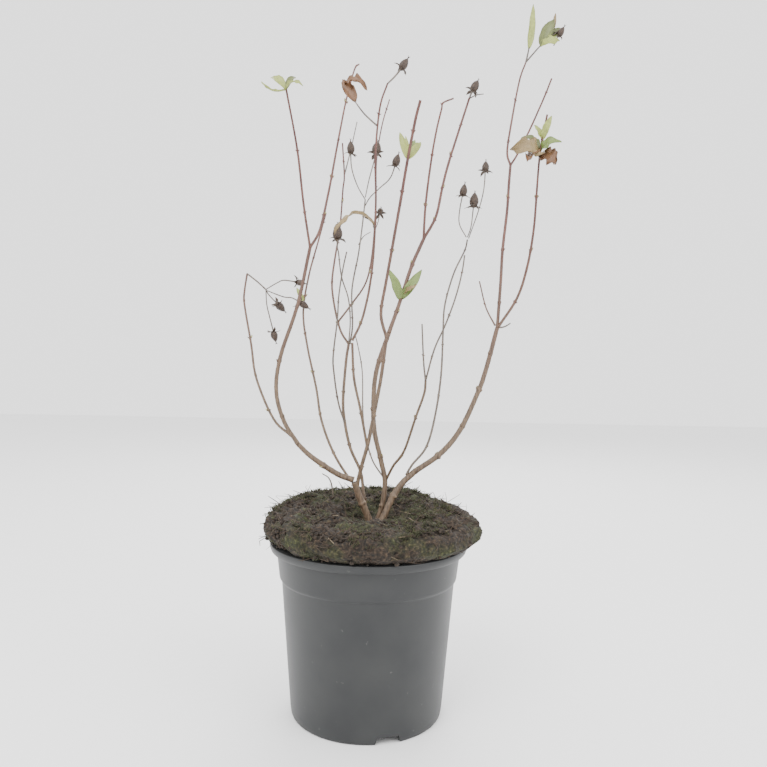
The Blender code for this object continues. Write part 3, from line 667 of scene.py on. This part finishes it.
def capsule(husks, sepals, path, width):
    """A three-valved dry capsule on the end of its stalk, over five spread sepals."""
    tip = path[-1]
    length = CAPSULE_PROPORTION * width * MM
    along = (tip - path[-4]).normalized()
    base = tip - along * length * 0.55
    side = along.orthogonal().normalized()
    other = along.cross(side)

    def outward(turn):
        return side * math.cos(turn) + other * math.sin(turn)

    rows = []
    for step in range(CAPSULE_ROWS):
        share = step / (CAPSULE_ROWS - 1)
        bulge = math.sin(math.pi * min(1, 0.06 + 0.94 * share)) ** 0.62 * (1 - 0.35 * share)
        row = []
        for turn_step in range(CAPSULE_SIDES):
            turn = 2 * math.pi * turn_step / CAPSULE_SIDES
            groove = 1 - 0.16 * math.cos(VALVES * turn / 2) ** 8 * math.sin(math.pi * share)
            crease = 1 + 0.06 * noise.noise(Vector((turn * 2, share * 9, base.x * 400)))
            radius = max(0.05, bulge * 0.5 * groove * crease) * width * MM
            row.append(base + along * length * share + outward(turn) * radius)
        rows.append(row)
    husks.grid(rows, True, True)
    for valve in range(VALVES):
        out = outward(2 * math.pi * (valve + 0.5) / VALVES)
        top = base + along * length * 0.96
        style = [top + along * s * STYLE_LENGTH * MM + out * s * s * STYLE_SPREAD * MM for s in STYLE_SHARES]
        tube(husks, style, [radius * MM for radius in STYLE_RADII], 5)
    for number in range(SEPALS):
        out = outward(2 * math.pi * (number + RANDOM.uniform(-0.12, 0.12)) / SEPALS)
        reach = width * MM * RANDOM.uniform(*SEPAL_REACHES)
        drop = RANDOM.uniform(*SEPAL_DROPS)
        end = base + out * reach + along * reach * drop
        blade(sepals, base, end, along, width * 0.5, RANDOM.uniform(*SEPAL_ARCHES), 5, 2)


def blade(mesher, base, tip, up, width, arch, rows=12, half=3, fold=0.22, wave=0.0):
    """A pointed oval leaf blade of its own small thickness, which arches up between base and tip."""
    reach = tip - base
    along = reach.normalized()
    across = along.cross(up)
    across = (across if across.length > 0.05 else along.orthogonal()).normalized()
    lift = across.cross(along).normalized()
    thick = BLADE_HALF_THICKNESS * MM
    tops, unders = [], []
    for step in range(rows + 1):
        share = step / rows
        wide = max(0.04, (share ** 0.6) * ((1 - share) ** 0.8) * 1.92) * width * MM / 2
        middle = base + reach * share + lift * (4 * share * (1 - share)) * arch * MM
        top, under = [], []
        for column in range(-half, half + 1):
            aside = column / half
            spot = Vector((share * 5 + base.x * 300, aside * 2, base.z * 300))
            ripple = wave * noise.noise(spot) * width * MM
            place = middle + across * aside * wide + lift * (fold * wide + ripple) * aside * aside
            top.append(place + lift * thick)
            under.append(place - lift * thick)
        tops.append(top)
        unders.append(under)
    mesher.grid([top + under[::-1] for top, under in zip(tops, unders)], True, True)


def build_seed_heads(paths, barks):
    """Every capsule, with its sepals and its stalk."""
    husks, sepals, stalks = Mesher(), Mesher(), Mesher()
    for _, carried_by, depth, stalk, width, points in SEED_HEADS:
        path = stalk_line(points, paths[carried_by], depth)
        radii = [MM * stalk * 0.5 * (1 + 0.3 * i / len(path)) for i in range(len(path))]
        tube(stalks, path, radii, 7, 0.1, depth)
        capsule(husks, sepals, path, width * 0.94)
    for carried_by, depth, stalk, width, points in MORE_HEADS:
        path = stalk_line(points, paths[carried_by], depth)
        tube(stalks, path, [MM * stalk * 0.5] * len(path), 7, 0.1, depth)
        capsule(husks, sepals, path, width * 0.9)
    husk = husks.finish("capsules", speckled("dry_capsule", 0.55, 900, 0.0003, GRAINS["dry_capsule"]))
    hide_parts(*(head[0] for head in SEED_HEADS))
    sepals.finish("dry_sepals", speckled("sepal", 0.7, 800, 0.0002, GRAINS["sepal"]))
    stalks.finish("capsule_stalks", barks["grey"])


def build_leaves(paths):
    """Leaves of five colours, each colour joined in one piece, and the fallen leaf on the root ball."""
    groups = {kind: Mesher() for kind in LEAF_COLOURS}
    for carried_by, kind, width, arch, turned, base, tip in LEAVES:
        flat_base, flat_tip = drawn((base[:2], tip[:2]))
        foot = at_depth(flat_base, base[2] * MM)
        seat = nearest_on(paths[carried_by], flat_base)
        if (foot - seat).length < SEAT_REACH * MM:
            foot = seat
        up = Vector((RANDOM.uniform(-0.3, 0.3), -turned, 1.15 - turned))
        crinkle = 0.5 if kind in CRINKLED_LEAVES else 0.2
        blade(groups[kind], foot, at_depth(flat_tip, tip[2] * MM), up, width, arch, 14, 4, 0.3, crinkle)
    fallen = at_depth(drawn((FALLEN_LEAF,))[0], FALLEN_LEAF_DEPTH * MM)
    blade(groups["lime"], fallen, fallen + Vector(FALLEN_LEAF_REACH) * MM, Vector((0, -0.3, 1)), 4, 1.5, 8, 2)
    masses = [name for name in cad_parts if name.startswith(("leaf_", "leaves_"))]
    for kind, mesher in groups.items():
        colour = LEAF_COLOURS[kind]
        dark = tuple(LEAF_SHADE * channel for channel in colour)
        finish = speckled(f"{kind}_leaf", 0.5, 350, 0.0002, ((0.3, dark), (0.7, colour)))
        leaves = mesher.finish(f"{kind}_leaves", finish)
        if kind == "lime":
            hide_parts(*masses)


def soil_height(radius, turn):
    """The crown's uneven surface, higher at the back, and low and level round the stems."""
    lump = noise.noise(Vector((2.2 * math.cos(turn), 2.2 * math.sin(turn), radius * 0.06)))
    back = 0.5 + 0.5 * math.sin(turn)
    rise = min(1.0, max(0.0, (radius - CROWN_FLAT_RADIUS + 8) / 26))
    edge = max(0.0, (radius - SHOULDER_RADIUS + 4) / 14)
    return CROWN_HEIGHT + rise * (6 + 5 * lump + 7 * back) - 9 * edge


def crown_place(share, turn, way):
    """A place on the root ball's smooth shape: over the top to the overhang, then down to the rim."""
    ragged = EDGE_RAGGEDNESS * noise.fractal(way * 3.1, 0.8, 2.1, 5)
    outer = OVERHANG_RADIUS - 2.5 + ragged + RIGHT_OVERHANG * max(0.0, way.x) ** 3
    if share < TOP_SHARE:
        radius = max(0.6, outer * share / TOP_SHARE)
        return radius, soil_height(radius, turn)
    down = (share - TOP_SHARE) / (1 - TOP_SHARE)
    radius = outer + 2.0 * math.sin(math.pi * down) - 14 * max(0.0, down - 0.55)
    top = soil_height(outer, turn)
    return radius, top + (POT_HEIGHT + 0.4 - top) * down ** 0.9


def build_root_ball(finish):
    """The lumpy crown of peat, clear of the pot's rim."""
    rows = []
    for step in range(SOIL_ROWS + 1):
        share = step / SOIL_ROWS
        row = []
        for index in range(SOIL_SIDES):
            turn = 2 * math.pi * index / SOIL_SIDES
            way = Vector((math.cos(turn), math.sin(turn), 0))
            radius, height = crown_place(share, turn, way)
            place = way * radius * MM + Vector((0, 0, height * MM))
            lumps = noise.fractal(place * 80, 0.6, 2.2, 6) * LUMP_HEIGHT
            rough = lumps + noise.noise(place * 380) * GRAIN_HEIGHT
            calm = min(1.0, radius / 12)
            outward = Vector((0, 0, 1)) if share < 0.62 else way * 0.7 + Vector((0, 0, 0.5))
            place += outward * rough * MM * calm
            if radius > BAND_TOP_RADIUS - WALL:
                place.z = max(place.z, (POT_HEIGHT + 0.15) * MM)
            row.append(place)
        rows.append(row)
    soil = Mesher()
    soil.grid(rows, True, True)
    piece = soil.finish("peat_and_moss", finish)
    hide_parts("root_ball")


def scatter_spot(edge_share):
    """A random place on the root ball, this share of them at its edge, and its direction from the axis."""
    turn = RANDOM.uniform(0, 2 * math.pi)
    radius = OVERHANG_RADIUS * math.sqrt(RANDOM.uniform(0.02, 0.98))
    if RANDOM.random() < edge_share:
        radius = RANDOM.uniform(OVERHANG_RADIUS - 9, OVERHANG_RADIUS - 1)
    way = Vector((math.cos(turn), math.sin(turn), 0))
    height = soil_height(radius, turn)
    if radius > SHOULDER_RADIUS:
        height = RANDOM.uniform(POT_HEIGHT + 2, height)
    return way * radius * MM + Vector((0, 0, height * MM)), way


def crumb(spot):
    """Rings of a small uneven lump."""
    size = RANDOM.uniform(*CRUMB_SIZES) * MM
    turn = Matrix.Rotation(RANDOM.uniform(0, 6), 3, "Z") @ Matrix.Rotation(RANDOM.uniform(0, 3), 3, "X")
    rows = []
    for level in range(4):
        high = -1 + 2 * level / 3
        wide = math.sqrt(max(0.08, 1 - high * high))
        row = []
        for step in range(6):
            angle = math.pi * step / 3
            local = Vector((wide * math.cos(angle), wide * math.sin(angle) * 0.8, high * 0.7))
            row.append(spot + turn @ (local * size * RANDOM.uniform(0.75, 1.15)))
        rows.append(row)
    return rows


def kept_near(place, limit):
    """The same place, brought in at its own height where it is further than this from the axis."""
    reach = math.hypot(place.x, place.y)
    if reach < limit:
        return place
    return Vector((place.x * limit / reach, place.y * limit / reach, place.z))


def fibre(spot):
    """Places along a bent fibre that lies on the root ball."""
    length = RANDOM.uniform(*FIBRE_LENGTHS) * MM
    flat = Vector((RANDOM.uniform(-1, 1), RANDOM.uniform(-1, 1), RANDOM.uniform(-0.25, 0.35))).normalized()
    bend = Vector((RANDOM.uniform(-1, 1), RANDOM.uniform(-1, 1), RANDOM.uniform(-0.4, 0.6))) * 0.3
    lift = Vector((0, 0, 0.8 * MM))
    line = [spot + (flat * t + bend * t * t) * length + lift for t in (0, 0.25, 0.5, 0.75, 1)]
    return [kept_near(place, (OVERHANG_RADIUS + FIBRE_OVERHANG) * MM) for place in line]


def moss_shoot(spot, way):
    """Places up one shoot of a tuft."""
    lean = Vector((RANDOM.uniform(-1, 1), RANDOM.uniform(-1, 1), 0)) * 0.8 + Vector((0, 0, 1)) + way * 0.3
    length = RANDOM.uniform(*MOSS_LENGTHS) * MM
    root = spot + Vector((RANDOM.uniform(-1.5, 1.5), RANDOM.uniform(-1.5, 1.5), 0)) * MM
    return [root, root + lean * length * 0.6, root + lean * length]


def build_litter():
    """Crumbs, fibres and moss on the root ball."""
    crumbs, fibres, straw, moss = Mesher(), Mesher(), Mesher(), Mesher()
    for _ in range(CRUMBS):
        spot, _ = scatter_spot(0.35)
        crumbs.grid(crumb(spot), True, True)
    for number in range(FIBRES):
        spot, _ = scatter_spot(0.4)
        line = fibre(spot)
        wide = RANDOM.uniform(*FIBRE_RADII) * MM
        radii = [wide, wide, wide * 0.9, wide * 0.8, wide * 0.5]
        tube(fibres if number % FIBRES_PER_STRAW else straw, line, radii, 4)
    for _ in range(MOSS_TUFTS):
        spot, way = scatter_spot(0.3)
        if noise.noise(spot * 26) < BARE_GROUND:
            continue
        for _ in range(SHOOTS_PER_TUFT):
            tube(moss, moss_shoot(spot, way), [radius * MM for radius in MOSS_RADII], 3)
    for mesher, name, grain, roughness, scale, relief in (
        (crumbs, "peat_crumbs", "crumb", 0.95, 500, 0.0005),
        (fibres, "peat_fibres", "fibre", 0.9, 300, 0.0002),
        (straw, "pale_straw", "straw", 0.8, 300, 0.0002),
        (moss, "moss_shoots", "moss", 0.9, 120, 0.0002),
    ):
        mesher.finish(name, speckled(grain, roughness, scale, relief, GRAINS[grain]))


def pot_profile():
    """The wall's section, as (radius, height) from the lip down the outside and back up the inside."""
    top, lip = POT_HEIGHT, LIP_DEPTH
    return [
        (BAND_TOP_RADIUS - WALL, top - 1), (BAND_TOP_RADIUS - WALL + 0.5, top - 0.2),
        (BAND_TOP_RADIUS - WALL + 1.2, top),
        (LIP_RADIUS - 1.2, top), (LIP_RADIUS - 0.4, top - 0.3), (LIP_RADIUS, top - 1.1),
        (LIP_RADIUS - 0.3, top - 3.5),
        (LIP_RADIUS - 1.2, top - lip + 0.6), (LIP_RADIUS - 1.8, top - lip),
        (BAND_TOP_RADIUS + 1.2, top - lip),
        (BAND_TOP_RADIUS + 0.3, top - lip - 0.5), (BAND_TOP_RADIUS - 0.1, top - lip - 1.8),
        (BAND_RADIUS + 0.3, BAND_FOOT_HEIGHT + 2.2), (BAND_RADIUS, BAND_FOOT_HEIGHT + 0.9),
        (BAND_RADIUS - 0.6, BAND_FOOT_HEIGHT), (WALL_TOP_RADIUS + 0.4, BAND_FOOT_HEIGHT - 0.9),
        (WALL_TOP_RADIUS, BAND_FOOT_HEIGHT - 2.0), (BASE_RADIUS + 1.0, 8), (BASE_RADIUS + 0.5, 4),
        (BASE_RADIUS, 1.4),
        (BASE_RADIUS - 0.5, 0.4), (BASE_RADIUS - 1.4, 0),
        (BASE_RADIUS - FOOT_RING, 0), (BASE_RADIUS - FOOT_RING, CHANNEL_HEIGHT),
        (CENTRE_DISC_RADIUS, CHANNEL_HEIGHT), (CENTRE_DISC_RADIUS, 0), (0, 0),
        (0, WALL), (CENTRE_DISC_RADIUS - WALL, WALL), (CENTRE_DISC_RADIUS - WALL, CHANNEL_HEIGHT + WALL),
        (BASE_RADIUS - 1, CHANNEL_HEIGHT + WALL), (WALL_TOP_RADIUS - WALL, BAND_FOOT_HEIGHT - 1.5),
        (BAND_RADIUS - WALL, BAND_FOOT_HEIGHT + 1),
    ]


def notch_cutter(order, degrees):
    """A tapered block at the pot's foot, turned from the front by this many degrees."""
    shape = bmesh.new()
    bmesh.ops.create_cube(shape, size=1)
    for vertex in shape.verts:
        share = NOTCH_TOP_SHARE if vertex.co.z > 0 else NOTCH_FOOT_SHARE
        vertex.co.x *= NOTCH_WIDTH * MM * share
        vertex.co.y *= NOTCH_DEPTH * MM
        vertex.co.z *= 2 * NOTCH_HEIGHT * MM
    mesh = bpy.data.meshes.new(f"notch_{order}")
    shape.to_mesh(mesh)
    shape.free()
    cutter = bpy.data.objects.new(f"notch_{order}", mesh)
    bpy.context.scene.collection.objects.link(cutter)
    turn = math.radians(degrees)
    reach = (BASE_RADIUS - 1) * MM
    cutter.location = (reach * math.sin(turn), -reach * math.cos(turn), 0)
    cutter.rotation_euler = (0, 0, turn)
    return cutter


def build_pot(finish):
    """The pot as one turned mesh, with its notches cut and its modifiers applied."""
    mesh = bpy.data.meshes.new("nursery_pot")
    points = [(radius * MM, 0, height * MM) for radius, height in pot_profile()]
    mesh.from_pydata(points, [(i, (i + 1) % len(points)) for i in range(len(points))], [])
    mesh.materials.append(finish)
    pot = bpy.data.objects.new("nursery_pot", mesh)
    bpy.context.scene.collection.objects.link(pot)
    screw = pot.modifiers.new("turn", "SCREW")
    screw.axis = "Z"
    screw.steps = POT_STEPS
    screw.render_steps = POT_STEPS
    screw.use_merge_vertices = True
    screw.merge_threshold = 1e-5
    cutters = [notch_cutter(order, degrees) for order, degrees in enumerate(NOTCH_TURNS)]
    for order, cutter in enumerate(cutters):
        cut = pot.modifiers.new(f"cut_{order}", "BOOLEAN")
        cut.operation = "DIFFERENCE"
        cut.object = cutter
    bpy.context.view_layer.update()
    done = bpy.data.meshes.new_from_object(pot.evaluated_get(bpy.context.evaluated_depsgraph_get()))
    pot.modifiers.clear()
    pot.data = done
    for cutter in cutters:
        bpy.data.objects.remove(cutter)
    done.shade_smooth()
    done.set_sharp_from_angle(angle=SHARP_ANGLE)
    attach(pot, "root")
    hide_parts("pot")


def build_stage():
    """A pale floor, an even white sky and three soft lights."""
    bpy.ops.mesh.primitive_plane_add(size=FLOOR_SIZE, location=(0, 0, 0))
    floor = bpy.context.active_object
    floor.name = "floor"
    pale, _, _, shader = material("pale_floor", 0.7)
    shader.inputs["Base Color"].default_value = FLOOR_COLOUR
    floor.data.materials.append(pale)
    world = bpy.context.scene.world or bpy.data.worlds.new("studio")
    bpy.context.scene.world = world
    world.use_nodes = True
    world.node_tree.nodes["Background"].inputs["Color"].default_value = (1, 1, 1, 1)
    world.node_tree.nodes["Background"].inputs["Strength"].default_value = SKY_STRENGTH
    for name, place, power, size in LIGHTS:
        light = bpy.data.lights.new(name, "AREA")
        light.energy = power
        light.size = size
        lamp = bpy.data.objects.new(name, light)
        lamp.location = place
        lamp.rotation_euler = (LIT_PLACE - Vector(place)).to_track_quat("-Z", "Y").to_euler()
        bpy.context.scene.collection.objects.link(lamp)


def build_camera():
    """The photograph's camera, with its principal point at the frame's centre."""
    data = bpy.data.cameras.new("camera")
    data.sensor_width = SENSOR_WIDTH
    data.sensor_fit = "HORIZONTAL"
    data.lens = SENSOR_WIDTH * FOCAL_PIXELS / FRAME_PIXELS
    camera = bpy.data.objects.new("camera", data)
    look = Matrix.Rotation(math.pi / 2 - PITCH_DOWN, 4, "X") @ Matrix.Rotation(ROLL, 4, "Z")
    camera.matrix_world = Matrix.Translation(EYE) @ look
    bpy.context.scene.collection.objects.link(camera)
    bpy.context.scene.camera = camera


def main():
    build_camera()
    build_stage()
    barks = {
        "brown": bark_material("brown_and_red_bark", *BROWN_BARK),
        "grey": bark_material("grey_bark", *GREY_BARK),
    }
    paths = build_limbs(barks)
    build_twigs(paths, barks["grey"])
    build_seed_heads(paths, barks)
    build_leaves(paths)
    build_root_ball(soil_material())
    build_litter()
    build_pot(pot_material())


main()
